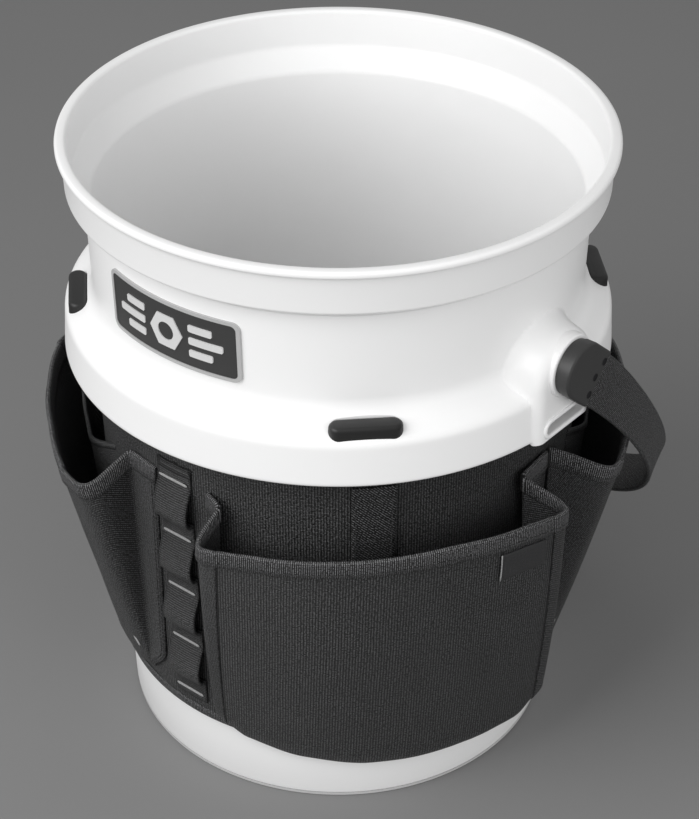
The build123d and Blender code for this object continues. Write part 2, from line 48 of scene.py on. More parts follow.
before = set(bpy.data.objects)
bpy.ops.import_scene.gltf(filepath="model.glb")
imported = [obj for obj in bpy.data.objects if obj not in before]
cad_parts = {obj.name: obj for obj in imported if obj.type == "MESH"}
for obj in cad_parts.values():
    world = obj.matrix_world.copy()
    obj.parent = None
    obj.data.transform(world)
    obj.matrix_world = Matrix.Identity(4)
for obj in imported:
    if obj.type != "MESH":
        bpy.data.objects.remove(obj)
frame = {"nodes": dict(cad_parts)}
cad_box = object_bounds()
nodes = frame["nodes"]
MM = 0.001
FORWARD = Vector((1, 0, 0))
LEVEL = Vector((0, 1, 0))
UP = Vector((0, 0, 1))


def low_z(node):
    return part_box(node)[0][2] / MM


def top_z(node):
    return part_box(node)[1][2] / MM


# ---- bucket ----
HEIGHT = cad_box[1][2] / MM
FOOT_Z = 2.0  # underside of the moulding
GROOVE = (117.9, 122.1)  # radii of the groove that holds the foot ring
GROOVE_DEPTH = 3.2
FLOOR_TOP = 10.5
UNDER_R = (106.0, 110.0)  # radii of the slope round the recess under the floor
WALL_R = 125.9  # at height 0; it grows by WALL_SLOPE for each millimetre up
WALL_SLOPE = 0.0336
WALL_T = 4.4
LIP_R = 150.5
LIP_T = 4.0
BAND_R = 147.0
BAND_Z = HEIGHT - 25.6
MOUTH_R = (144.0, 143.3)  # inside of the band, at its top and at its foot
STEP_R = 132.9  # inside of the neck below the band
NECK_TOP = (137.0, HEIGHT - 32.5)
NECK_LOW = (135.6, 279.2)
LEDGE_EDGE = (151.6, 270.1)
LEDGE_UNDER = 266.0
SKIRT_R = 153.3
SKIRT_Z = 244.5
SKIRT_T = 4.1

# ---- handle boss ----
PIVOT_Z = (low_z("pivot_bush_right") + top_z("pivot_bush_right")) / 2
BOSS_X = 154.5
BOSS_FLAT = 18.5  # half width of the flat face
BOSS_LOWER = 7.0  # middle of its rounded top below the pivot
BOSS_EDGE = 7.0  # rounding round the face
BOSS_SLOPE = 75.0  # steepness of its flank
BOSS_DROP = 1.5  # how far the boss hangs below the skirt
BOSS_BLEND = (1.6, 15.0)  # width of the blend into the shell, on the skirt and high on the neck
BLEND_Z = (277.0, 298.0)  # heights between which the blend widens
COLLAR_R = 17.5
COLLAR_T = 2.0  # how far it stands out from the boss
BUSH_R = 8.0
BUSH_L = 16.0
SLOT_Z = 250.0
SLOT_L = 34.0
SLOT_H = 7.0
PADS = {"front_left": -45, "front_right": 45, "rear_right": 135, "rear_left": 225}
PAD_R = 144.0
PAD_L = 38.0
PAD_W = 10.4
PAD_BASE = low_z("ledge_pad_front_left")
PAD_TOP = 278.0
PAD_GAP = 0.1  # between a pad and the edge of its pocket

# ---- fabric wrap ----
BELT_LOW = low_z("belt_panel")
BELT_TOP = top_z("belt_panel")
BELT_OUT = 2.9  # outer face of the wrap over the bucket wall
WRAP = (-138.0, 214.0)  # azimuths of its ends
FLAP = (198.0, 234.5)
SEAM_AZ = 9.0  # where the front panel of the wrap is joined
CLOTH_T = 1.6
GUSSET_LAP = 0.95  # how far a gusset is lifted where it laps over the panel
BINDING_H = 9.6
TUCK = 0.06  # share of a pocket's height over which its foot is rounded in
SEAM_TURN = 0.13  # share of its height over which the side seam turns along the foot
STITCH_L = 2.1
STITCH_PITCH = 3.0
LABEL_Z = (169.5, 188.5)
LABEL_AZ = (70.8, 81.2)
WEB_W = 23.0
WEB_T = 1.5
INNER_WEB_AZ = 47.3  # middle of the webbing on the wrap inside the front pocket
TACK_LOW = 62.4
TACK_PITCH = 38.1
TACK_COUNT = 5
CHAIN_LOW = low_z("daisy_chain_front")
CHAIN_TOP = top_z("daisy_chain_front")
LOOP_RISE = 5.8
LOOP_SAG = 2.6  # how far a loop droops over its lower end
FLAT_ABOVE = 11.0  # webbing lying flat above each bar of thread
FLAT_BELOW = 2.0

# ---- handle ----
HANG_ANGLE = 41.6  # how steeply the strap leaves the knobs
STRAP_W = 30.0
STRAP_T = 2.6
STRAP_X = 161.15
STRAP_START = 20.0  # from the pivot to the start of the curve
STRAP_END = (164.0, 81.0)  # middle of the strap: distance behind the axis, and height
STRAP_LEAD = 92.0  # pull of the curve at its start
STRAP_REACH = 174.0  # pull of the curve at its middle
STRAP_LEAN = 78.0  # lean of the strap's width at its middle
STRAP_TWIST = 0.18
STRAP_CURL = 0.16
GRIP_FROM = 0.9  # share of each half of the strap at which the grip starts
RIDGE_PITCH = 6.0


# ---- shapes ----


def polar(r, azimuth, z):
    a = radians(azimuth)
    return Vector((r * sin(a), -r * cos(a), z))


def belt_radius(z):
    return WALL_R + WALL_SLOPE * z + BELT_OUT


def lerp(a, b, t):
    return a + (b - a) * t


def smoothstep(low, high, x):
    t = min(1.0, max(0.0, (x - low) / (high - low)))
    return t * t * (3 - 2 * t)


def interpolate(knots, x):
    """Smooth value at x through (x, value) knots in rising order."""
    if x <= knots[0][0]:
        return knots[0][1]
    for (x0, y0), (x1, y1) in zip(knots, knots[1:]):
        if x <= x1:
            return lerp(y0, y1, smoothstep(x0, x1, x) * 0.5 + (x - x0) / (x1 - x0) * 0.5)
    return knots[-1][1]


def soft_noise(point, size, seed=0.0):
    """Gentle unevenness between -1 and 1 over the given size in millimetres."""
    return noise.noise(point / size + Vector((seed, seed * 0.7, -seed)))


def place_in_scene(name, data):
    thing = bpy.data.objects.new(name, data)
    bpy.context.scene.collection.objects.link(thing)
    return thing


def mesh_of(name, points, faces):
    """Mesh from points in millimetres."""
    mesh = bpy.data.meshes.new(name)
    mesh.from_pydata([tuple(p * MM) for p in points], [], faces)
    return mesh


def make_object(name, points, faces, material, slot, body="bucket", uvs=None, stands_for=(), sharp=None):
    """One visible piece. Edges steeper than sharp degrees stay crisp."""
    mesh = mesh_of(name, points, faces)
    if uvs:
        layer = mesh.uv_layers.new(name="weave")
        for loop in mesh.loops:
            layer.data[loop.index].uv = uvs[loop.vertex_index]
    mesh.polygons.foreach_set("use_smooth", [True] * len(mesh.polygons))
    mesh.materials.append(material)
    piece = place_in_scene(name, mesh)
    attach(piece, body)
    if stands_for:
        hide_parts(*stands_for)
    recalculate_normals(piece)
    if sharp:
        piece.data.set_sharp_from_angle(angle=radians(sharp))
    return piece


def recalculate_normals(piece):
    bm = bmesh.new()
    bm.from_mesh(piece.data)
    bmesh.ops.recalc_face_normals(bm, faces=bm.faces)
    bm.to_mesh(piece.data)
    bm.free()


def grid_faces(rows, columns, wrap_rows=False, wrap_columns=False):
    faces = []
    for i in range(rows if wrap_rows else rows - 1):
        for j in range(columns if wrap_columns else columns - 1):
            a = i * columns + j
            b = i * columns + (j + 1) % columns
            c = (i + 1) % rows * columns + (j + 1) % columns
            d = (i + 1) % rows * columns + j
            faces.append((a, b, c, d))
    return faces


def tube_faces(rows, columns, first=0):
    """Faces of a closed tube with two end caps, whose points start at number first."""
    faces = grid_faces(rows, columns, wrap_columns=True)
    faces.append(tuple(range(columns))[::-1])
    faces.append(tuple(range((rows - 1) * columns, rows * columns)))
    return [tuple(first + i for i in face) for face in faces]


def make_sheet(name, rows, thickness, material, slot, stands_for=(), uvs=None):
    """Cloth of even thickness through a grid of points; the weave follows lengths on the cloth."""
    points = [p for row in rows for p in row]
    faces = grid_faces(len(rows), len(rows[0]))
    uvs = uvs or cloth_uvs(rows)
    piece = make_object(name, points, faces, material, slot, uvs=uvs, stands_for=stands_for)
    thick = piece.modifiers.new("thickness", "SOLIDIFY")
    thick.thickness = thickness * MM
    thick.offset = 0


def distances(path):
    """Length along a path up to each of its points."""
    result = [0.0]
    for a, b in zip(path, path[1:]):
        result.append(result[-1] + (b - a).length)
    return result


def cloth_uvs(rows):
    """Texture place in millimetres: across from each row's middle, and up the middle column."""
    middle = len(rows[0]) // 2
    uvs = []
    for row, up in zip(rows, distances([row[middle] for row in rows])):
        across = distances(row)
        uvs += [(x - across[middle], up) for x in across]
    return uvs


def tape_uvs(rows):
    """The same, but ribs run straight across, so the place along the tape is that of its first row."""
    middle = len(rows[0]) // 2
    along = distances(rows[0])
    return [(x, up) for up in distances([row[middle] for row in rows]) for x in along]


def rounded_path(corners, radii, steps):
    """Polyline whose inner corners are rounded; each corner gives the same number of points."""
    path = [corners[0]]
    for i in range(1, len(corners) - 1):
        before, corner, after = corners[i - 1 : i + 2]
        legs = (before - corner, after - corner)
        start, end = (corner + leg.normalized() * min(radii[i - 1], leg.length * 0.48) for leg in legs)
        last = path[-1]
        path += [last.lerp(start, k / 6) for k in range(1, 6)]
        for k in range(steps + 1):
            t = k / steps
            path.append(start * (1 - t) ** 2 + corner * (2 * t * (1 - t)) + end * t * t)
    last = path[-1]
    path += [last.lerp(corners[-1], k / 6) for k in range(1, 7)]
    return path


# ---- materials ----


class Shader:
    """Builds one material's nodes."""

    def __init__(self, name):
        self.material = bpy.data.materials.new(name)
        self.material.use_nodes = True
        self.tree = self.material.node_tree
        self.surface = self.tree.nodes["Principled BSDF"]

    def add(self, kind, inputs=(), **settings):
        node = self.tree.nodes.new(kind)
        for key, value in settings.items():
            setattr(node, key, value)
        for key, value in dict(inputs).items():
            self.put(node, key, value)
        return node

    def put(self, node, key, value):
        if isinstance(value, bpy.types.NodeSocket):
            self.tree.links.new(value, node.inputs[key])
        else:
            node.inputs[key].default_value = value

    def math(self, operation, a, b=0.0, c=0.0):
        return self.add("ShaderNodeMath", {0: a, 1: b, 2: c}, operation=operation).outputs[0]

    def cloth_place(self):
        """Sockets of the two directions of the weave, in millimetres."""
        place = self.add("ShaderNodeUVMap", uv_map="weave")
        split = self.add("ShaderNodeSeparateXYZ", {0: place.outputs[0]})
        return place.outputs[0], split.outputs[0], split.outputs[1]

    def body_place(self):
        return self.add("ShaderNodeTexCoord").outputs["Object"]

    def wave(self, place, pitch):
        """0 to 1 and back once in each pitch."""
        turn = self.math("MULTIPLY", place, 2 * pi / pitch)
        return self.math("MULTIPLY_ADD", self.math("COSINE", turn), 0.5, 0.5)

    def noise(self, place, scale, detail=2.0):
        node = self.add("ShaderNodeTexNoise", {"Vector": place, "Scale": scale, "Detail": detail})
        return node.outputs[0]

    def ramp(self, value, stops):
        """Turns a value into a grey through two (value, grey) stops."""
        node = self.add("ShaderNodeValToRGB", {0: value})
        for element, (position, shade) in zip(node.color_ramp.elements, stops):
            element.position = position
            element.color = grey(shade)
        return node.outputs[0]

    def mix(self, amount, a, b, blend="MIX"):
        node = self.add("ShaderNodeMix", {0: amount, 6: a, 7: b}, data_type="RGBA", blend_type=blend)
        return node.outputs[2]

    def bump(self, height, depth):
        """Raises the surface by depth millimetres where height is 1."""
        node = self.add("ShaderNodeBump", {"Height": height, "Distance": depth * MM, "Strength": 1.0})
        self.put(self.surface, "Normal", node.outputs[0])

    def finish(self, colour, roughness, **others):
        self.put(self.surface, "Base Color", colour)
        self.put(self.surface, "Roughness", roughness)
        for key, value in others.items():
            self.put(self.surface, key.replace("_", " "), value)
        return self.material


def grey(value):
    return (value, value, value, 1)


def moulded(name, tone, roughness, grain, depth, wear=0.06):
    """Plastic or rubber with handling marks; grain and depth are the grain's size and height."""
    s = Shader(name)
    place = s.body_place()
    fine = s.noise(place, 1000 / grain, 3.0)
    broad = s.noise(place, 14, 4.0)
    scuffs = s.noise(s.add("ShaderNodeMapping", {0: place, 3: (60, 60, 900)}).outputs[0], 1.0, 2.0)
    worn = s.ramp(scuffs, [(0.62, 0.0), (0.8, 1.0)])
    shade = s.ramp(broad, [(0.3, 1.0 - wear), (0.7, 1.0)])
    base = s.mix(1.0, grey(tone), shade, "MULTIPLY")
    rough = s.math("MULTIPLY_ADD", s.math("SUBTRACT", broad, 0.5), 0.16, roughness)
    rough = s.math("ADD", rough, s.math("MULTIPLY", worn, 0.08))
    s.bump(fine, depth)
    return s.finish(base, rough)


def woven(name, dark, light, pattern, pitch, depth):
    """Canvas, twill, tape (ribs across the tape) or webbing; dark in the hollows as painted shade, light
    on the crests as a painted highlight.
    """
    s = Shader(name)
    place, u, v = s.cloth_place()
    if pattern == "canvas":
        column = s.math("MULTIPLY", s.math("FLOOR", s.math("DIVIDE", u, pitch)), 0.47 * pitch)
        knots = s.wave(s.math("ADD", v, column), pitch * 0.62)
        columns = s.math("MULTIPLY_ADD", s.wave(u, pitch), 0.6, 0.4)
        height = s.math("MULTIPLY", columns, s.math("MULTIPLY_ADD", knots, 0.7, 0.3))
    elif pattern == "twill":
        slant = s.math("ADD", u, s.math("MULTIPLY", v, 1.1))
        knots = s.wave(v, pitch * 0.7)
        height = s.math("MULTIPLY", s.wave(slant, pitch), s.math("MULTIPLY_ADD", knots, 0.4, 0.6))
    elif pattern == "tape":
        rows = s.wave(v, 1.1)
        height = s.math("MULTIPLY", s.wave(u, pitch), s.math("MULTIPLY_ADD", rows, 0.4, 0.6))
    else:
        columns = s.wave(u, 1.9)
        height = s.math("MULTIPLY", s.wave(v, pitch), s.math("MULTIPLY_ADD", columns, 0.2, 0.8))
    flecks = s.noise(place, 0.9, 3.0)
    patches = s.noise(place, 0.045, 3.0)
    spread = s.math("MULTIPLY_ADD", flecks, 3.4, -0.65)
    height = s.math("MULTIPLY", height, spread)
    # Weave heights below this are painted in full shade.
    full_shade_below = 0.52 if pattern in ("canvas", "twill") else 0.4
    thread = s.ramp(height, [(full_shade_below, 0.0), (1.05, 1.0)])
    # Colour mixed by height of the weave: painted shade in the hollows, painted highlight on the crests.
    shaded_weave_colour = s.mix(thread, (*dark, 1), (*light, 1))
    base = s.mix(1.0, shaded_weave_colour, s.ramp(patches, [(0.3, 0.82), (0.7, 1.0)]), "MULTIPLY")
    s.bump(height, depth)
    return s.finish(base, 0.5, Sheen_Weight=0.02, Sheen_Roughness=0.5, Specular_IOR_Level=0.6)


def pile(name, dark, light, size):
    """Looped or hooked fastening tape, painted lighter on its raised loops and darker between them:
    painted highlight and painted shade.
    """
    s = Shader(name)
    place, _, _ = s.cloth_place()
    cells = s.add("ShaderNodeTexVoronoi", {"Vector": place, "Scale": 1 / size})
    # Colour follows the height of the loops: painted highlight on top, painted shade in between.
    base = s.mix(s.ramp(cells.outputs[0], [(0.1, 1.0), (0.7, 0.0)]), (*dark, 1), (*light, 1))
    s.bump(s.math("SUBTRACT", 1.0, cells.outputs[0]), 0.5)
    return s.finish(base, 0.9, Sheen_Weight=0.4)


def metal(name, colour, roughness):
    s = Shader(name)
    place = s.body_place()
    turned = s.noise(s.add("ShaderNodeMapping", {0: place, 3: (3000, 400, 400)}).outputs[0], 1.0, 2.0)
    s.bump(turned, 0.03)
    rough = s.math("MULTIPLY_ADD", turned, 0.15, roughness)
    return s.finish((*colour, 1), rough, Metallic=1.0)


# Black of the cloth darkened further as painted shade; the woven cloths use it in the hollows of their
# weave.
BLACK_YARN_IN_SHADE = (0.0015, 0.0015, 0.0015)

WHITE_PLASTIC = moulded("white_plastic", 0.83, 0.34, 0.35, 0.012, 0.015)
BLACK_RUBBER = moulded("black_rubber", 0.012, 0.5, 0.3, 0.03, 0.2)
FOOT_RUBBER = moulded("foot_rubber", 0.5, 0.6, 0.3, 0.03, 0.1)
KNOB_PLASTIC = moulded("knob_plastic", 0.034, 0.42, 0.28, 0.03, 0.15)
BUSH_PLASTIC = moulded("bush_plastic", 0.6, 0.45, 0.3, 0.02)
BADGE_BORDER = moulded("badge_border", 0.42, 0.35, 0.3, 0.01)
BADGE_FIELD = moulded("badge_field", 0.035, 0.45, 0.25, 0.02)
BADGE_MARK = moulded("badge_mark", 0.62, 0.35, 0.25, 0.01)
GRIP_RUBBER = moulded("grip_rubber", 0.02, 0.62, 0.4, 0.05, 0.15)
SCREW_STEEL = metal("screw_steel", (0.05, 0.05, 0.055), 0.35)
PIN_STEEL = metal("pin_steel", (0.55, 0.55, 0.56), 0.25)
CANVAS = woven("wrap_canvas", BLACK_YARN_IN_SHADE, (0.16, 0.162, 0.166), "canvas", 1.55, 0.5)
TWILL = woven("gusset_twill", BLACK_YARN_IN_SHADE, (0.15, 0.152, 0.156), "twill", 1.6, 0.45)
TAPE = woven("binding_tape", (0.002, 0.002, 0.002), (0.24, 0.24, 0.247), "tape", 1.15, 0.35)
WEBBING = woven("webbing", BLACK_YARN_IN_SHADE, (0.075, 0.076, 0.078), "webbing", 1.35, 0.45)
STRAP_WEB = woven("strap_webbing", BLACK_YARN_IN_SHADE, (0.18, 0.182, 0.187), "twill", 1.9, 0.5)
LABEL = woven("label_cloth", (0.02, 0.02, 0.021), (0.035, 0.035, 0.036), "twill", 0.5, 0.08)
PALE_THREAD = woven("tack_thread", (0.3, 0.3, 0.3), (0.65, 0.65, 0.65), "tape", 0.55, 0.2)
DARK_THREAD = woven("seam_thread", (0.01, 0.01, 0.01), (0.11, 0.11, 0.113), "tape", 0.6, 0.1)
LOOP_TAPE = pile("loop_tape", (0.01, 0.01, 0.01), (0.06, 0.06, 0.062), 0.9)
HOOK_TAPE = pile("hook_tape", (0.015, 0.015, 0.015), (0.05, 0.05, 0.05), 1.3)


# ---- moulded shell ----


def shell_outline():
    """Section of the bucket from axis to axis. Each corner is its radius, height and rounding."""
    skirt_in = SKIRT_R - SKIRT_T
    groove_in, groove_out = GROOVE
    corners = [
        (0, FOOT_Z + 4, 0),
        (UNDER_R[0], FOOT_Z + 4, 0),
        (UNDER_R[1], FOOT_Z, 0),
        (groove_in, FOOT_Z, 0),
        (groove_in, FOOT_Z + GROOVE_DEPTH, 0),
        (groove_out, FOOT_Z + GROOVE_DEPTH, 0),
        (groove_out, FOOT_Z, 0),
        (WALL_R, FOOT_Z, 1.5),
        (WALL_R + WALL_SLOPE * LEDGE_UNDER, LEDGE_UNDER, 0.5),
        (skirt_in - 1.2, LEDGE_UNDER - 3, 1.0),
        (skirt_in, SKIRT_Z, 0.6),
        (SKIRT_R, SKIRT_Z, 1.5),
        (*LEDGE_EDGE, 6.0),
        (*NECK_LOW, 14.0),
        (*NECK_TOP, 1.5),
        (BAND_R - 0.2, BAND_Z, 2.2),
        (BAND_R + 0.5, HEIGHT - LIP_T, 1.2),
        (LIP_R, HEIGHT - LIP_T, 1.2),
        (LIP_R, HEIGHT, 1.8),
        (MOUTH_R[0], HEIGHT, 2.0),
        (MOUTH_R[1], HEIGHT - 22, 5.0),
        (STEP_R, HEIGHT - 34, 6.0),
        (WALL_R + WALL_SLOPE * FLOOR_TOP - WALL_T, FLOOR_TOP, 10.0),
        (0, FLOOR_TOP, 0),
    ]
    points = [Vector(corners[0][:2])]
    for i in range(1, len(corners) - 1):
        before, corner, after = (Vector(c[:2]) for c in corners[i - 1 : i + 2])
        rounding = corners[i][2]
        if rounding == 0:
            points.append(corner)
            continue
        back = (before - corner).normalized()
        ahead = (after - corner).normalized()
        half = back.angle(ahead) / 2
        reach = rounding / tan(half)
        centre = corner + (back + ahead).normalized() * (rounding / sin(half))
        first = corner + back * reach - centre
        last = corner + ahead * reach - centre
        sweep = first.angle_signed(last)
        steps = max(3, ceil(abs(sweep) * rounding / 1.2))
        start = atan2(first.y, first.x)
        for k in range(steps + 1):
            a = start - sweep * k / steps
            points.append(centre + Vector((cos(a), sin(a))) * rounding)
    points.append(Vector(corners[-1][:2]))
    return points


def subdivided(points):
    """Extra points on the stretches that the handle bosses grow out of."""
    result = [points[0]]
    for a, b in zip(points, points[1:]):
        beside_boss = min(a.y, b.y) > SKIRT_Z - 1 and max(a.y, b.y) < NECK_TOP[1] + 1
        longest = 1.3 if beside_boss and min(a.x, b.x) > 134.5 else 25.0
        steps = max(1, ceil((b - a).length / longest))
        result += [a.lerp(b, k / steps) for k in range(1, steps + 1)]
    return result


def boss_reach(across, z):
    """Distance from the middle plane to the boss surface, facing straight along X."""
    outside = hypot(across, max(z - PIVOT_Z + BOSS_LOWER, 0.0)) - BOSS_FLAT
    if outside <= 0:
        return BOSS_X
    steep = radians(BOSS_SLOPE)
    turn = BOSS_EDGE * sin(steep)
    if outside < turn:
        return BOSS_X - BOSS_EDGE + sqrt(BOSS_EDGE**2 - outside**2)
    return BOSS_X - BOSS_EDGE * (1 - cos(steep)) - (outside - turn) * tan(steep)


def with_boss(r, azimuth, z):
    """Radius and height of an outer point of the shell once the bosses are blended in."""
    nearest = 90 if azimuth < 180 else 270
    angle = radians(azimuth - nearest)
    if abs(angle) > radians(24):
        return r, z
    reach = r
    for _ in range(3):
        reach = max(r, boss_reach(reach * sin(angle), z) / cos(angle))
    flank = boss_reach(reach * sin(angle), z) / cos(angle)
    blend = lerp(*BOSS_BLEND, smoothstep(*BLEND_Z, z))
    share = min(1.0, max(0.0, 0.5 + 0.5 * (flank - r) / blend))
    blended = lerp(r, flank, share) + blend * share * (1 - share) * 0.5
    hang = BOSS_DROP * smoothstep(0.3, 1.0, share) * (1 - smoothstep(SKIRT_Z, SKIRT_Z + 7, z))
    return max(r, blended), z - hang


def shell_azimuths():
    """Azimuths all round, closest together on the bosses."""
    fine = 0.4
    coarse = 1.2
    azimuths = []
    a = 0.0
    while a < 360 - 1e-6:
        azimuths.append(a)
        near = min(abs(a - 90), abs(a - 270)) <= 18
        a += fine if near or min(abs(a + coarse - 90), abs(a + coarse - 270)) < 18 else coarse
    return azimuths


def prism(outline, direction, start, length):
    """Closed prism used as a cutter: outline points pushed along a direction."""
    near = [p + direction * start for p in outline]
    far = [p + direction * (start + length) for p in outline]
    n = len(outline)
    faces = [tuple(range(n))[::-1], tuple(range(n, 2 * n))]
    faces += [(i, (i + 1) % n, n + (i + 1) % n, n + i) for i in range(n)]
    return near + far, faces


def stadium(centre, along, up, length, height, steps=14):
    """Outline of a slot with round ends."""
    points = []
    for side in (1, -1):
        for k in range(steps + 1):
            a = -pi / 2 + pi * k / steps
            x = side * ((length - height) / 2 + cos(a) * height / 2)
            points.append(centre + along * x + up * (side * sin(a) * height / 2))
    return points


def circle(centre, along, up, radius, steps=48):
    turns = [2 * pi * k / steps for k in range(steps)]
    return [centre + along * (cos(a) * radius) + up * (sin(a) * radius) for a in turns]


def joined(parts):
    """The points and faces of several parts as those of one."""
    points = []
    faces = []
    for part_points, part_faces in parts:
        faces += [tuple(i + len(points) for i in face) for face in part_faces]
        points += part_points
    return points, faces


def cut(piece, parts):
    """Takes the given prisms out of a closed piece."""
    cutter = place_in_scene("cutter", mesh_of("cutter", *joined(parts)))
    recalculate_normals(cutter)
    modifier = piece.modifiers.new("cut", "BOOLEAN")
    modifier.operation = "DIFFERENCE"
    modifier.solver = "EXACT"
    modifier.object = cutter
    graph = bpy.context.evaluated_depsgraph_get()
    result = bpy.data.meshes.new_from_object(piece.evaluated_get(graph))
    piece.modifiers.clear()
    piece.data = result
    bpy.data.objects.remove(cutter)


def ring_band(outline_function, profile, side):
    """Raised rim that follows an outline on the boss face; profile is (grow, out) pairs."""
    points = []
    for grow, out in profile:
        points += outline_function(grow, side * (BOSS_X + out))
    count = len(points) // len(profile)
    return points, grid_faces(len(profile), count, wrap_rows=True, wrap_columns=True)


def collar_outline(grow, x):
    return circle(Vector((x, 0, PIVOT_Z)), LEVEL, UP, COLLAR_R + grow, 96)


def slot_outline(grow, x):
    return stadium(Vector((x, 0, SLOT_Z)), LEVEL, UP, SLOT_L + 2 * grow, SLOT_H + 2 * grow)


def make_shell():
    """The section turned round the axis, with the bosses blended into its outside."""
    outline = subdivided(shell_outline())
    azimuths = shell_azimuths()
    inner_from = next(i for i, p in enumerate(outline) if p.y > HEIGHT - 0.5)
    points = [UP * outline[0].y]
    for i, p in enumerate(outline[1:-1], 1):
        beside_boss = i < inner_from and p.x > 135.0 and SKIRT_Z - 0.01 <= p.y <= NECK_TOP[1]
        outside = p.x > SKIRT_R - 2.0 or p.y > LEDGE_UNDER + 2.0
        for azimuth in azimuths:
            r, z = with_boss(p.x, azimuth, p.y) if beside_boss and outside else p
            points.append(polar(r, azimuth, z))
    points.append(UP * outline[-1].y)
    columns = len(azimuths)
    rows = len(outline) - 2
    faces = [tuple(i + 1 for i in face) for face in grid_faces(rows, columns, wrap_columns=True)]
    last = len(points) - 1
    for j in range(columns):
        following = (j + 1) % columns
        faces.append((0, 1 + following, 1 + j))
        faces.append((last, last - columns + j, last - columns + following))
    nodes = ("bucket_shell",)
    shell = make_object("moulded_shell", points, faces, WHITE_PLASTIC, "shell_plastic", stands_for=nodes)
    cutters = []
    for side in (1, -1):
        slot = stadium(Vector((0, 0, SLOT_Z)), LEVEL, UP, SLOT_L, SLOT_H)
        cutters.append(prism(slot, FORWARD * side, BOSS_X - 8, 16))
        bore = circle(Vector((0, 0, PIVOT_Z)), LEVEL, UP, BUSH_R)
        cutters.append(prism(bore, FORWARD * side, BOSS_X + COLLAR_T - BUSH_L, BUSH_L + 4))
    for azimuth in PADS.values():
        cutters.append(prism(pad_outline(azimuth, 0, 2 * PAD_GAP), UP, PAD_BASE, 20))
    cut(shell, cutters)
    shell.data.set_sharp_from_angle(angle=radians(38))


def pad_outline(azimuth, z, grow):
    across = polar(1, azimuth + 90, 0)
    inward = polar(-1, azimuth, 0)
    return stadium(polar(PAD_R, azimuth, z), across, inward, PAD_L + grow, PAD_W + grow)


def make_ledge_pads():
    """Rubber pads let into the ledge, each with a rounded upper edge."""
    profile = [(0.0, PAD_BASE), (0.0, PAD_TOP - 2.2), (0.3, PAD_TOP - 1.1), (1.0, PAD_TOP - 0.3)]
    profile.append((2.2, PAD_TOP))
    for place, azimuth in PADS.items():
        points = []
        for inset, z in profile:
            points += pad_outline(azimuth, z, -2 * inset)
        faces = tube_faces(len(profile), len(points) // len(profile))
        name = f"rubber_pad_{place}"
        stands_for = (f"ledge_pad_{place}",)
        make_object(name, points, faces, BLACK_RUBBER, "pad_rubber", stands_for=stands_for, sharp=50)


def make_boss_rims():
    """Raised collar round each pivot and raised rim round each tie-down slot."""
    inner = BUSH_R + 0.15 - COLLAR_R
    collar = [(inner, -5.0), (inner, COLLAR_T - 0.3), (inner + 0.4, COLLAR_T)]
    collar += [(-0.9, COLLAR_T), (-0.25, COLLAR_T - 0.25), (0.0, COLLAR_T - 0.9), (0.35, -5.0)]
    slot = [(0.0, -0.6), (0.1, 0.7), (0.5, 1.1), (1.9, 1.1), (2.5, 0.7), (2.7, -0.6)]
    for side, name in ((1, "right"), (-1, "left")):
        rims = joined([ring_band(collar_outline, collar, side), ring_band(slot_outline, slot, side)])
        make_object(f"boss_rims_{name}", *rims, WHITE_PLASTIC, "shell_plastic", sharp=60)


# ---- fabric wrap ----


def belt_rows(span, z_low, z_high, out, step_az=1.0, step_z=3.0, seed=0.0, wave=0.3, lift=None):
    """Grid of points out from the wrap's outer face, a little uneven; lift depends on azimuth."""
    columns = max(2, ceil((span[1] - span[0]) / step_az))
    rows = max(2, ceil((z_high - z_low) / step_z))
    grid = []
    for i in range(rows + 1):
        z = lerp(z_low, z_high, i / rows)
        row = []
        for j in range(columns + 1):
            azimuth = lerp(*span, j / columns)
            r = belt_radius(z) + out
            r += wave * soft_noise(polar(r, azimuth, z), 38, seed)
            row.append(polar(r + lift(azimuth) if lift else r, azimuth, z))
        grid.append(row)
    return grid


def seam_step(azimuth):
    """The front panel of the wrap lies over the next one at the seam."""
    return 0.7 * smoothstep(SEAM_AZ + 0.5, SEAM_AZ - 0.1, azimuth) * smoothstep(-60, -50, azimuth)


def flap_sink(azimuth):
    """The flap comes down to the wrap towards its sewn end."""
    return -2.1 * smoothstep(216, 226, azimuth)


def make_belt():
    rows = belt_rows(WRAP, BELT_LOW, BELT_TOP, -1.2, 0.75, 3.0, 3.0, lift=seam_step)
    make_sheet("wrap", rows, 1.7, CANVAS, "wrap_fabric", ("belt_panel",))
    for name, edge, inward in (("bottom", BELT_LOW, 1), ("top", BELT_TOP, -1)):
        make_edge_binding(name, edge, inward, nodes=(f"belt_{name}_binding",))


def make_edge_binding(name, edge, inward, span=WRAP, out=0.0, nodes=()):
    """Tape folded over an edge of the wrap."""
    profile = [(-2.6, 2.0), (-2.6, 0.2), (-2.1, -0.7), (-1.2, -1.0), (-0.3, -0.7), (0.3, 0.2)]
    profile += [(0.45, 3.0), (0.5, 6.0)]
    steps = round(span[1] - span[0])
    rows = []
    for depth, height in profile:
        z = edge + inward * height
        r = belt_radius(z) + out + depth
        rows.append([polar(r, lerp(*span, j / steps), z) for j in range(steps + 1)])
    make_sheet(f"{name}_edge_tape", rows, 0.7, TAPE, "binding_tape", nodes)


def chain_path():
    """Section of the front webbing: (stand-off, height) from bottom to top, looped between tacks."""
    path = [(0.0, CHAIN_LOW), (0.0, TACK_LOW - 2), (0.0, TACK_LOW + FLAT_ABOVE)]
    for i in range(TACK_COUNT - 1):
        low = TACK_LOW + TACK_PITCH * i + FLAT_ABOVE
        high = TACK_LOW + TACK_PITCH * (i + 1) - FLAT_BELOW
        for k in range(1, 31):
            s = k / 30
            bulge = sin(pi * s**0.62)
            sag = LOOP_SAG * sin(pi * s**0.5) * (1 - s)
            path.append((LOOP_RISE * bulge, lerp(low, high, s) - sag))
        path.append((0.0, high + FLAT_BELOW))
        path.append((0.0, high + FLAT_BELOW + FLAT_ABOVE))
    path.append((0.0, CHAIN_TOP))
    return path


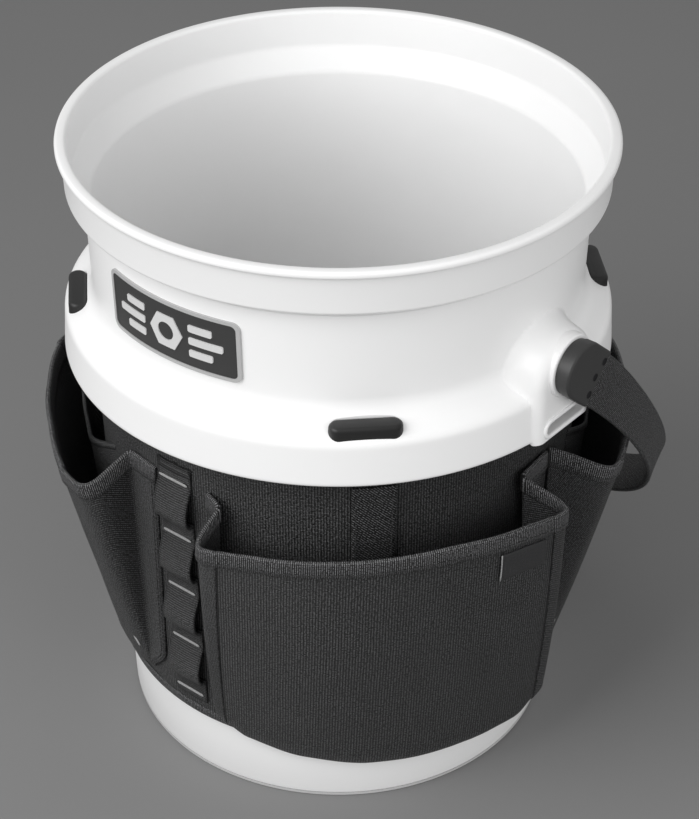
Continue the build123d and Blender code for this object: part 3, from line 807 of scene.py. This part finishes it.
def make_front_chain():
    rows = []
    for out, z in chain_path():
        half = WEB_W / 2
        row = []
        for k in range(13):
            x = lerp(-half, half, k / 12)
            crown = 0.25 * (1 - (x / half) ** 2)
            r = belt_radius(z) + WEB_T / 2 + 0.3 + out + crown
            row.append(Vector((x, -sqrt(r * r - x * x), z)))
        rows.append(row)
    make_sheet("front_webbing", rows, WEB_T, WEBBING, "webbing", ("daisy_chain_front",))


def make_pocket_webbing():
    """Flat webbing on the wrap inside the front pocket, stitched along its edges and across."""
    half = degrees(WEB_W / 2 / belt_radius(150))
    span = (INNER_WEB_AZ - half, INNER_WEB_AZ + half)
    rows = belt_rows(span, 60, 232, 0.9, 0.9, 3.0, 5.0, 0.15)
    make_sheet("inner_webbing", rows, 1.3, STRAP_WEB, "webbing", ("pocket_webbing_strip",))
    edges = (span[0] + 0.9, span[1] - 0.9)
    for azimuth in edges:
        add_stitches([polar(belt_radius(z) + 1.7, azimuth, z) for z in range(64, 230, 2)])
    for z in (196, 222, 226):
        add_stitches([polar(belt_radius(z) + 1.7, lerp(*edges, k / 8), z) for k in range(9)])


# ---- stitches ----

stitch_points = []
stitch_faces = []
stitch_uvs = []


def add_stitches(path, radius=0.3):
    """A row of short thread runs along a path."""
    distance = distances(path)

    def at(s):
        for k in range(len(path) - 1):
            if distance[k + 1] >= s:
                share = (s - distance[k]) / max(1e-6, distance[k + 1] - distance[k])
                return path[k].lerp(path[k + 1], share)
        return path[-1]

    s = 0.5
    while s + STITCH_L < distance[-1]:
        add_thread(at(s), at(s + STITCH_L), radius)
        s += STITCH_PITCH


def add_thread(start, end, radius):
    """One spindle-shaped run of thread, round in section and pointed into the cloth."""
    along = (end - start).normalized()
    side = along.cross(Vector((0.31, 0.17, 0.93))).normalized()
    other = along.cross(side)
    stations = ((0.0, 0.35), (0.2, 0.95), (0.5, 1.1), (0.8, 0.95), (1.0, 0.35))
    sides = 6
    stitch_faces.extend(tube_faces(len(stations), sides, len(stitch_points)))
    for share, swell in stations:
        centre = start.lerp(end, share)
        stitch_points.extend(circle(centre, side, other, radius * swell, sides))
        for k in range(sides):
            stitch_uvs.append((share * (end - start).length, radius * 2 * pi * k / sides))


def make_stitching():
    make_object("stitching", stitch_points, stitch_faces, DARK_THREAD, "tack_thread", uvs=stitch_uvs)


# ---- pockets ----


def foot_radius(z):
    return max(belt_radius(z), belt_radius(BELT_LOW) + 1.0) + 1.3


def tucked(r, z, t):
    """Radius once the foot of a pocket has been rounded in towards the wrap."""
    base = foot_radius(z) - 0.6
    share = min(1.0, t / TUCK)
    return base + (r - base) * sqrt(1 - (1 - share) ** 2)


class Pocket:
    """Bellows pocket. Each end is four lines running from mouth to foot: seam on the wrap,
    fold pointing into the pocket, outer corner, and seam with the front panel. Each line is
    given as (azimuth, radius, height) at the mouth and at the foot. Mouth and foot of the panel
    are knots of radius and knots of height over the share of its width.
    """

    def __init__(self, name, first_end, last_end, mouth, foot, bulge):
        self.name = name
        self.first_end = first_end
        self.last_end = last_end
        self.mouth = mouth
        self.foot = foot
        self.bulge = bulge
        self.mouth_span = (first_end[3][0][0], last_end[3][0][0])
        self.foot_span = (first_end[3][1][0], last_end[3][1][0])

    def rail(self, line, t):
        """Point of one line of an end; t is 0 at the foot and 1 at the mouth."""
        (a0, r0, z0), (a1, r1, z1) = line[1], line[0]
        swell = self.bulge * sin(pi * t) * smoothstep(140, 160, r1)
        z = lerp(z0, z1, t)
        return polar(tucked(lerp(r0, r1, t) + swell, z, t), lerp(a0, a1, t), z)

    def gusset_row(self, lines, t):
        corners = [self.rail(line, t) for line in lines]
        turn = smoothstep(SEAM_TURN, 0.0, t)
        corners[0] = corners[0].lerp(corners[2], 0.75 * turn * turn)
        corners[1] = corners[1].lerp(corners[2], 0.6 * turn * turn)
        return rounded_path(corners, (3.5, 12.0), 10)

    def panel_point(self, azimuth, t):
        start, end = self.mouth_span
        share = (azimuth - start) / (end - start)
        r1, z1 = (interpolate(self.mouth[k], share) for k in (0, 1))
        r0, z0 = (interpolate(self.foot[k], share) for k in (0, 1))
        z = lerp(z0, z1, t)
        out = tucked(lerp(r0, r1, t) + self.bulge * sin(pi * t), z, t)
        point = polar(out, lerp(lerp(*self.foot_span, share), azimuth, t), z)
        wave = 1.3 * soft_noise(point, 45, 2.0) * sin(pi * min(1, t * 1.1)) * sin(pi * share)
        return point + polar(wave, azimuth, 0)

    def panel_row(self, t, columns=110):
        """Row across the panel, whose ends are pulled onto the seams with the gussets."""
        row = [self.panel_point(lerp(*self.mouth_span, k / columns), t) for k in range(columns + 1)]
        first = self.rail(self.first_end[3], t)
        last = self.rail(self.last_end[3], t)
        for k in range(len(row)):
            near_first = smoothstep(8, 0, k)
            near_last = smoothstep(columns - 8, columns, k)
            row[k] = row[k] + (first - row[0]) * near_first + (last - row[-1]) * near_last
        return row

    def levels(self, count=64):
        """Shares of the height, from foot to mouth, closest together at the rounded foot."""
        low = [TUCK * (k / 6) ** 1.6 for k in range(6)]
        return low + [lerp(TUCK, 1.0, k / count) for k in range(count + 1)]


def offset_row(row, amount):
    """Row moved level, square to its own run."""
    result = []
    for k, point in enumerate(row):
        along = row[min(k + 1, len(row) - 1)] - row[max(k - 1, 0)]
        side = Vector((along.y, -along.x, 0)).normalized()
        result.append(point + side * amount)
    return result


def outward(point):
    return Vector((point.x, point.y, 0)).normalized()


def make_gusset(pocket, which, side):
    """Folded end of a pocket, lapped over its panel and stitched to the wrap."""
    last = which == "last"
    lines = pocket.last_end if last else pocket.first_end
    lap = -GUSSET_LAP if last else GUSSET_LAP
    rows = []
    for t in pocket.levels():
        row = pocket.gusset_row(lines, t)
        share = [smoothstep(0.62, 0.9, k / (len(row) - 1)) for k in range(len(row))]
        rows.append([p.lerp(q, s) for p, q, s in zip(row, offset_row(row, lap), share)])
    sheet = [row[::-1] for row in rows] if last else rows
    nodes = (f"{pocket.name}_gusset_{side}",)
    make_sheet(f"{pocket.name}_gusset_{which}", sheet, CLOTH_T * 0.8, TWILL, "wrap_fabric", nodes)
    for inset in (1.6, 3.6):
        line = [row[0] + (row[3] - row[0]).normalized() * inset for row in rows]
        add_stitches([p + outward(p) for p in line][1:-4])
    return sheet


def make_pocket(pocket, first_side, last_side):
    """Panel, two gussets and the tape round the mouth."""
    panel = [pocket.panel_row(t) for t in pocket.levels()]
    name = f"{pocket.name}_panel"
    make_sheet(name, panel, CLOTH_T, CANVAS, "wrap_fabric", (name,))
    first = make_gusset(pocket, "first", first_side)
    last = make_gusset(pocket, "last", last_side)
    make_mouth_tape(pocket, [a + b[1:-1] + c for a, b, c in zip(first, panel, last)])
    add_stitches(offset_row(panel[7], 0.95)[2:-2], radius=0.2)


def make_mouth_tape(pocket, rows):
    """Tape folded over the whole upper edge of a pocket, gussets included."""
    top = rows[-1]
    down = [(b - a).normalized() for a, b in zip(top, rows[-6])]
    profile = [(1.5, BINDING_H), (1.45, 6.0), (1.4, 3.0), (1.2, 0.2), (0.7, -0.7), (0.0, -1.0)]
    profile += [(-0.7, -0.7), (-1.2, 0.2), (-1.4, 3.0), (-1.45, 6.0), (-1.5, BINDING_H - 1)]
    grid = [offset_row([p + d * drop for p, d in zip(top, down)], out) for out, drop in profile]
    name = f"{pocket.name}_mouth_tape"
    nodes = (f"{pocket.name}_binding",)
    make_sheet(name, grid, 0.7, TAPE, "binding_tape", nodes, tape_uvs(grid))
    seam = [p + d * (BINDING_H - 2.2) for p, d in zip(top, down)]
    add_stitches(offset_row(seam, 1.95))


LOW_R = foot_radius(50)
SEAM_R = foot_radius(60) - 0.6
FOLD_R = foot_radius(58)
CORNER_R = foot_radius(57) + 1.0
SIDE_FOOT = (
    ((0.0, LOW_R + 0.8), (1.0, LOW_R + 0.8)),
    ((0.0, 54.0), (0.2, 50.5), (0.5, 49.5), (0.8, 50.5), (1.0, 54.0)),
)

FRONT = Pocket(
    "front_pocket",
    (
        ((9.5, 137.2, 214.0), (9.2, SEAM_R, 60.0)),
        ((13.6, 142.5, 213.0), (10.2, foot_radius(57), 57.0)),
        ((11.0, 160.0, 196.5), (7.4, CORNER_R, 56.0)),
        ((16.4, 161.6, 199.0), (11.0, LOW_R + 0.8, 49.0)),
    ),
    (
        ((94.6, 137.6, 212.5), (95.5, SEAM_R, 52.0)),
        ((83.4, 141.0, 213.0), (91.0, foot_radius(57) + 2.0, 49.0)),
        ((88.2, 165.6, 198.0), (94.0, LOW_R + 14.0, 45.0)),
        ((83.6, 165.0, 199.0), (90.0, LOW_R + 12.5, 41.0)),
    ),
    (
        ((0.0, 161.6), (0.3, 163.6), (0.7, 164.2), (1.0, 165.0)),
        ((0.0, 199.0), (0.12, 201.5), (0.35, 203.5), (0.65, 205.5), (0.88, 202.5), (1.0, 199.0)),
    ),
    (
        ((0.0, LOW_R + 0.8), (0.5, LOW_R + 1.6), (0.75, LOW_R + 4.0), (1.0, LOW_R + 12.5)),
        (
            *((0.0, 49.0), (0.07, 43.5), (0.25, 37.0), (0.45, 32.5)),
            *((0.62, 31.4), (0.8, 31.0), (0.94, 34.0), (1.0, 41.0)),
        ),
    ),
    1.6,
)

LEFT = Pocket(
    "left_pocket",
    (
        ((-82.6, 137.2, 214.0), (-80.0, SEAM_R, 62.0)),
        ((-76.2, 142.5, 213.0), (-78.0, FOLD_R, 60.0)),
        ((-70.4, 171.0, 200.5), (-75.0, CORNER_R, 58.0)),
        ((-66.4, 171.4, 200.5), (-71.0, LOW_R + 0.8, 54.0)),
    ),
    (
        ((-5.9, 137.2, 214.5), (-9.0, SEAM_R, 60.0)),
        ((-15.0, 138.6, 215.0), (-15.0, FOLD_R, 60.0)),
        ((-14.6, 168.5, 201.0), (-15.6, CORNER_R, 58.0)),
        ((-23.0, 169.6, 201.5), (-22.0, LOW_R + 0.8, 54.0)),
    ),
    (
        ((0.0, 171.4), (0.35, 166.5), (0.65, 165.4), (1.0, 169.0)),
        ((0.0, 200.5), (0.5, 201.5), (1.0, 201.5)),
    ),
    SIDE_FOOT,
    1.0,
)

RIGHT = Pocket(
    "right_pocket",
    (
        ((96.4, 137.4, 212.0), (99.0, SEAM_R, 62.0)),
        ((98.6, 147.0, 208.5), (101.0, FOLD_R, 60.0)),
        ((101.4, 167.6, 200.5), (103.0, CORNER_R, 58.0)),
        ((105.6, 169.4, 200.0), (106.5, LOW_R + 0.8, 54.0)),
    ),
    (
        ((166.2, 137.2, 214.0), (163.5, SEAM_R, 62.0)),
        ((160.0, 142.5, 213.0), (161.0, FOLD_R, 60.0)),
        ((153.0, 170.0, 200.5), (158.0, CORNER_R, 58.0)),
        ((148.8, 170.4, 200.5), (154.0, LOW_R + 0.8, 54.0)),
    ),
    (
        ((0.0, 169.4), (0.35, 166.0), (0.65, 166.0), (1.0, 170.4)),
        ((0.0, 200.0), (0.5, 201.5), (1.0, 200.5)),
    ),
    SIDE_FOOT,
    1.0,
)


def make_slip_pocket(side, azimuth_from, azimuth_to, z_high, dip, seed):
    """Slip pocket inside a side pocket. It bulges most near its start, and its edge dips to a V."""
    z_low = low_z(f"{side}_pocket_divider")
    bulge = ((0.0, -1.6), (0.14, 13.0), (0.5, 7.5), (1.0, -1.6))
    blunt = 0.02  # rounds the tip of the V
    rows = []
    for i in range(31):
        row = []
        for j in range(61):
            share = j / 60
            top = z_high - dip * (1 - sqrt(blunt + (2 * share - 1) ** 2)) / (1 - sqrt(blunt))
            z = lerp(z_low, top, i / 30)
            azimuth = lerp(azimuth_from, azimuth_to, share)
            out = interpolate(bulge, share) * lerp(0.25, 1.0, i / 30)
            point = polar(belt_radius(z) + 1.0 + out, azimuth, z)
            row.append(point + polar(0.3 * soft_noise(point, 30, seed), azimuth, 0))
        rows.append(row)
    nodes = (f"{side}_pocket_divider",)
    make_sheet(f"{side}_slip_pocket", rows, 1.0, TWILL, "wrap_fabric", nodes)
    edge = []
    for out, down in ((0.9, 3.4), (0.9, 0.5), (0.45, -0.4), (-0.45, -0.4), (-0.9, 0.5), (-0.9, 3.0)):
        edge.append(offset_row([p - UP * down for p in rows[-1]], out))
    make_sheet(f"{side}_slip_tape", edge, 0.5, TWILL, "binding_tape", uvs=tape_uvs(edge))


def make_label():
    """Blank folded label under the mouth tape of the front pocket, with a pale stitched edge."""
    foot, mouth = 30, 202
    rows = []
    for i in range(9):
        t = (lerp(*LABEL_Z, i / 8) - foot) / (mouth - foot)
        row = [FRONT.panel_point(lerp(*LABEL_AZ, k / 12), t) for k in range(13)]
        rows.append(offset_row(row, 1.35 + 0.35 * sin(pi * i / 8)))
    make_sheet("label", rows, 0.6, LABEL, "label_cloth", ("front_label",))
    make_thread_line("label_edge", [offset_row(row, 0.45)[0] for row in rows], 0.42)


def make_thread_line(name, path, radius):
    """Raised line of pale thread laid along a path."""
    points = []
    uvs = []
    sides = 8
    for k, (point, run) in enumerate(zip(path, distances(path))):
        along = (path[min(k + 1, len(path) - 1)] - path[max(k - 1, 0)]).normalized()
        side = along.cross(Vector((point.x, point.y, 0))).normalized()
        points += circle(point, side, side.cross(along), radius, sides)
        uvs += [(run, radius * 2 * pi * m / sides) for m in range(sides)]
    make_object(name, points, tube_faces(len(path), sides), PALE_THREAD, "tack_thread", uvs=uvs)


def make_bar_tacks():
    """Dense satin bars: one at each stop of the front webbing and one low on each side pocket."""
    bars = []
    for i in range(TACK_COUNT):
        z = TACK_LOW + TACK_PITCH * i
        r = belt_radius(z) + WEB_T + 0.75
        half = (WEB_W - 3) / 2
        bars.append([Vector((lerp(-half, half, k / 16), -r, z)) for k in range(17)])
    for pocket, end in ((LEFT, LEFT.last_end), (RIGHT, RIGHT.first_end)):
        corner = pocket.gusset_row(end, 0.14)[-13:-5]
        bars.append([p + outward(p) * 1.5 + UP * ((k - 3) * 1.2) for k, p in enumerate(corner)])
    points = []
    faces = []
    uvs = []
    sides = 8
    for bar in bars:
        faces += tube_faces(len(bar), sides, len(points))
        for k, (point, run) in enumerate(zip(bar, distances(bar))):
            swell = 1.0 if 0 < k < len(bar) - 1 else 0.55
            points += circle(point, outward(point) * 0.5, UP * 0.95, swell, sides)
            uvs += [(run, m * 0.6) for m in range(sides)]
    make_object("thread_bars", points, faces, PALE_THREAD, "tack_thread", "bucket", uvs, ("bar_tacks",))


def make_closure():
    """Back overlap of the wrap: loop tape, hook tape and a taped flap."""
    for kind, out, material in (("loop", 0.8, LOOP_TAPE), ("hook", 2.0, HOOK_TAPE)):
        rows = belt_rows((200, 213), 60, 240, out, 1.0, 4.0, 7.0, 0.1)
        make_sheet(f"{kind}_tape_strip", rows, 1.1, material, f"{kind}_tape", (f"{kind}_strip",))
    rows = belt_rows(FLAP, BELT_LOW + 1, BELT_TOP - 1, 3.8, 1.0, 4.0, 8.0, 0.2, flap_sink)
    make_edge_binding("flap_low", BELT_LOW, 1, (198.3, 220.3), 5.0)
    make_sheet("back_flap", rows, 1.9, CANVAS, "wrap_fabric", ("closure_flap",))
    for column, azimuth in ((1, 199), (3, 199), (-2, 233), (-4, 233)):
        add_stitches([row[column] + polar(1.15, azimuth, 0) for row in rows])


# ---- handle ----


def strap_station(u):
    """Place, run and width direction of the strap on +X; u below 0 is millimetres into the knob."""
    a = radians(HANG_ANGLE)
    lean = radians(STRAP_LEAN)
    out = Vector((0, cos(a), -sin(a)))
    knob_width = Vector((0, sin(a), cos(a)))
    start = Vector((STRAP_X, 0, PIVOT_Z)) + out * STRAP_START
    if u < 0:
        return start + out * u, out, knob_width
    end = Vector((0, *STRAP_END))
    lead = start + out * STRAP_LEAD
    reach = end + Vector((STRAP_REACH, 0, 0))
    v = 1 - u
    place = start * v**3 + lead * (3 * v * v * u) + reach * (3 * v * u * u) + end * u**3
    along = (lead - start) * (v * v) + (reach - lead) * (2 * v * u) + (end - reach) * (u * u)
    along.normalize()
    turn = STRAP_TWIST * sin(pi * u) + STRAP_CURL * sin(2 * pi * u)
    width = knob_width * v + Vector((0, sin(lean), cos(lean))) * u - Vector((turn, 0, 0))
    width = (width - along * width.dot(along)).normalized()
    return place, along, width


def mirrored(station):
    place, along, width = station
    flip = Vector((-1, 1, 1))
    return place * flip, -along * flip, width * flip


def strap_stations(values):
    near = [strap_station(u) for u in values]
    return near + [mirrored(s) for s in near[-2::-1]]


def sweep_loop(name, stations, section, material, slot, stands_for, ridge=0.0):
    """Closed section of (across, out) points carried along the strap; ridge is the height of ribs."""
    points = []
    uvs = []
    around = distances([Vector(corner) for corner in section])
    runs = distances([place for place, along, width in stations])
    for (place, along, width), run in zip(stations, runs):
        out = along.cross(width).normalized()
        if out.dot(Vector((place.x, place.y, 0))) < 0:
            out = -out
        swell = ridge * sin(2 * pi * run / RIDGE_PITCH)
        for (x, y), s in zip(section, around):
            grow = 1 + swell / max(2.0, hypot(x, y))
            points.append(place + width * x + out * (y * grow))
            uvs.append((s, run))
    faces = tube_faces(len(stations), len(section))
    make_object(name, points, faces, material, slot, "handle", uvs, stands_for, sharp=60)


def rounded_section(width, height, radius, steps=5):
    points = []
    for turn, (sx, sy) in enumerate(((1, 1), (-1, 1), (-1, -1), (1, -1))):
        cx = sx * (width / 2 - radius)
        cy = sy * (height / 2 - radius)
        for k in range(steps + 1):
            a = (turn + k / steps) * pi / 2
            points.append((cx + cos(a) * radius, cy + sin(a) * radius))
    return points


def filled_section(points, longest):
    """Extra points on the long sides of a section, so that the weave follows the strap."""
    result = []
    for (x0, y0), (x1, y1) in zip(points, points[1:] + points[:1]):
        steps = max(1, ceil(hypot(x1 - x0, y1 - y0) / longest))
        result += [(lerp(x0, x1, k / steps), lerp(y0, y1, k / steps)) for k in range(steps)]
    return result


def make_strap():
    values = [-9.5, -5.0] + [k / 70 for k in range(71)]
    section = filled_section(rounded_section(STRAP_W, STRAP_T, 1.1), 3.0)
    sweep_loop("carry_strap", strap_stations(values), section, STRAP_WEB, "webbing", ("handle_strap",))


def make_grip():
    """Soft sleeve round the middle of the strap with shallow ridges."""
    values = [lerp(GRIP_FROM, 1.0, k / 40) for k in range(41)]
    section = filled_section(rounded_section(STRAP_W + 4.8, STRAP_T + 5.2, 3.2), 3.0)
    stations = strap_stations(values)
    sweep_loop("grip_sleeve", stations, section, GRIP_RUBBER, "grip_rubber", ("handle_grip",), 0.5)


# ---- build ----


def paint(material, *names):
    for name in names:
        nodes[name].material_slots[0].material = material


make_shell()
make_boss_rims()
make_ledge_pads()
make_belt()
make_front_chain()
make_pocket_webbing()
make_pocket(FRONT, "left", "right")
make_pocket(LEFT, "rear", "front")
make_pocket(RIGHT, "front", "rear")
make_slip_pocket("left", -62, -26, z_high=201, dip=20, seed=11.0)
make_slip_pocket("right", 146, 110, z_high=203, dip=20, seed=13.0)
make_label()
make_bar_tacks()
make_closure()
make_strap()
make_grip()
make_stitching()

paint(FOOT_RUBBER, "foot_ring")
paint(BADGE_BORDER, "badge_bezel")
paint(BADGE_FIELD, "badge_plate")
paint(BADGE_MARK, "badge_emblem")
for side in ("left", "right"):
    paint(BUSH_PLASTIC, f"pivot_bush_{side}")
    paint(PIN_STEEL, f"pivot_pin_{side}")
    paint(KNOB_PLASTIC, f"knob_cover_{side}", f"knob_backplate_{side}")
    paint(SCREW_STEEL, f"knob_screws_{side}")


# ---- studio ----


def add_area_light(name, azimuth, elevation, distance, size, power, glossy=True):
    """Soft square light aimed at the middle of the bucket; distance and size are metres."""
    data = bpy.data.lights.new(name, "AREA")
    data.size = size
    data.energy = power
    light = place_in_scene(name, data)
    light.visible_glossy = glossy
    target = UP * (HEIGHT / 2 * MM)
    rise = radians(elevation)
    light.location = target + polar(cos(rise), azimuth, sin(rise)) * distance
    light.rotation_euler = (target - light.location).to_track_quat("-Z", "Y").to_euler()


def make_floor():
    s = Shader("floor")
    tone = s.ramp(s.noise(s.body_place(), 3.0, 2.0), [(0.3, 0.195), (0.7, 0.2)])
    half = 6000
    corners = [Vector((x * half, y * half, 0)) for x, y in ((-1, -1), (1, -1), (1, 1), (-1, 1))]
    mesh = mesh_of("floor", corners, [(0, 1, 2, 3)])
    mesh.materials.append(s.finish(tone, 0.9))
    place_in_scene("floor", mesh)


def make_world(strength):
    world = bpy.data.worlds.new("studio")
    world.use_nodes = True
    background = world.node_tree.nodes["Background"]
    background.inputs["Color"].default_value = grey(1.0)
    background.inputs["Strength"].default_value = strength
    bpy.context.scene.world = world


def make_camera():
    data = bpy.data.cameras.new("camera")
    data.lens = 96.2
    data.sensor_width = 36
    data.shift_x = 0.0137
    camera = place_in_scene("camera", data)
    camera.location = (0.6607, -0.8015, 0.9131)
    camera.rotation_euler = (radians(55), 0, radians(39.5))
    bpy.context.scene.camera = camera


make_floor()
make_world(0.46)
add_area_light("key", azimuth=-14, elevation=36, distance=1.7, size=1.3, power=24)
add_area_light("front", azimuth=48, elevation=32, distance=2.0, size=1.4, power=4.5, glossy=False)
add_area_light("fill", azimuth=84, elevation=14, distance=1.9, size=1.2, power=12, glossy=False)
make_camera()
bpy.context.scene.view_settings.view_transform = "Standard"
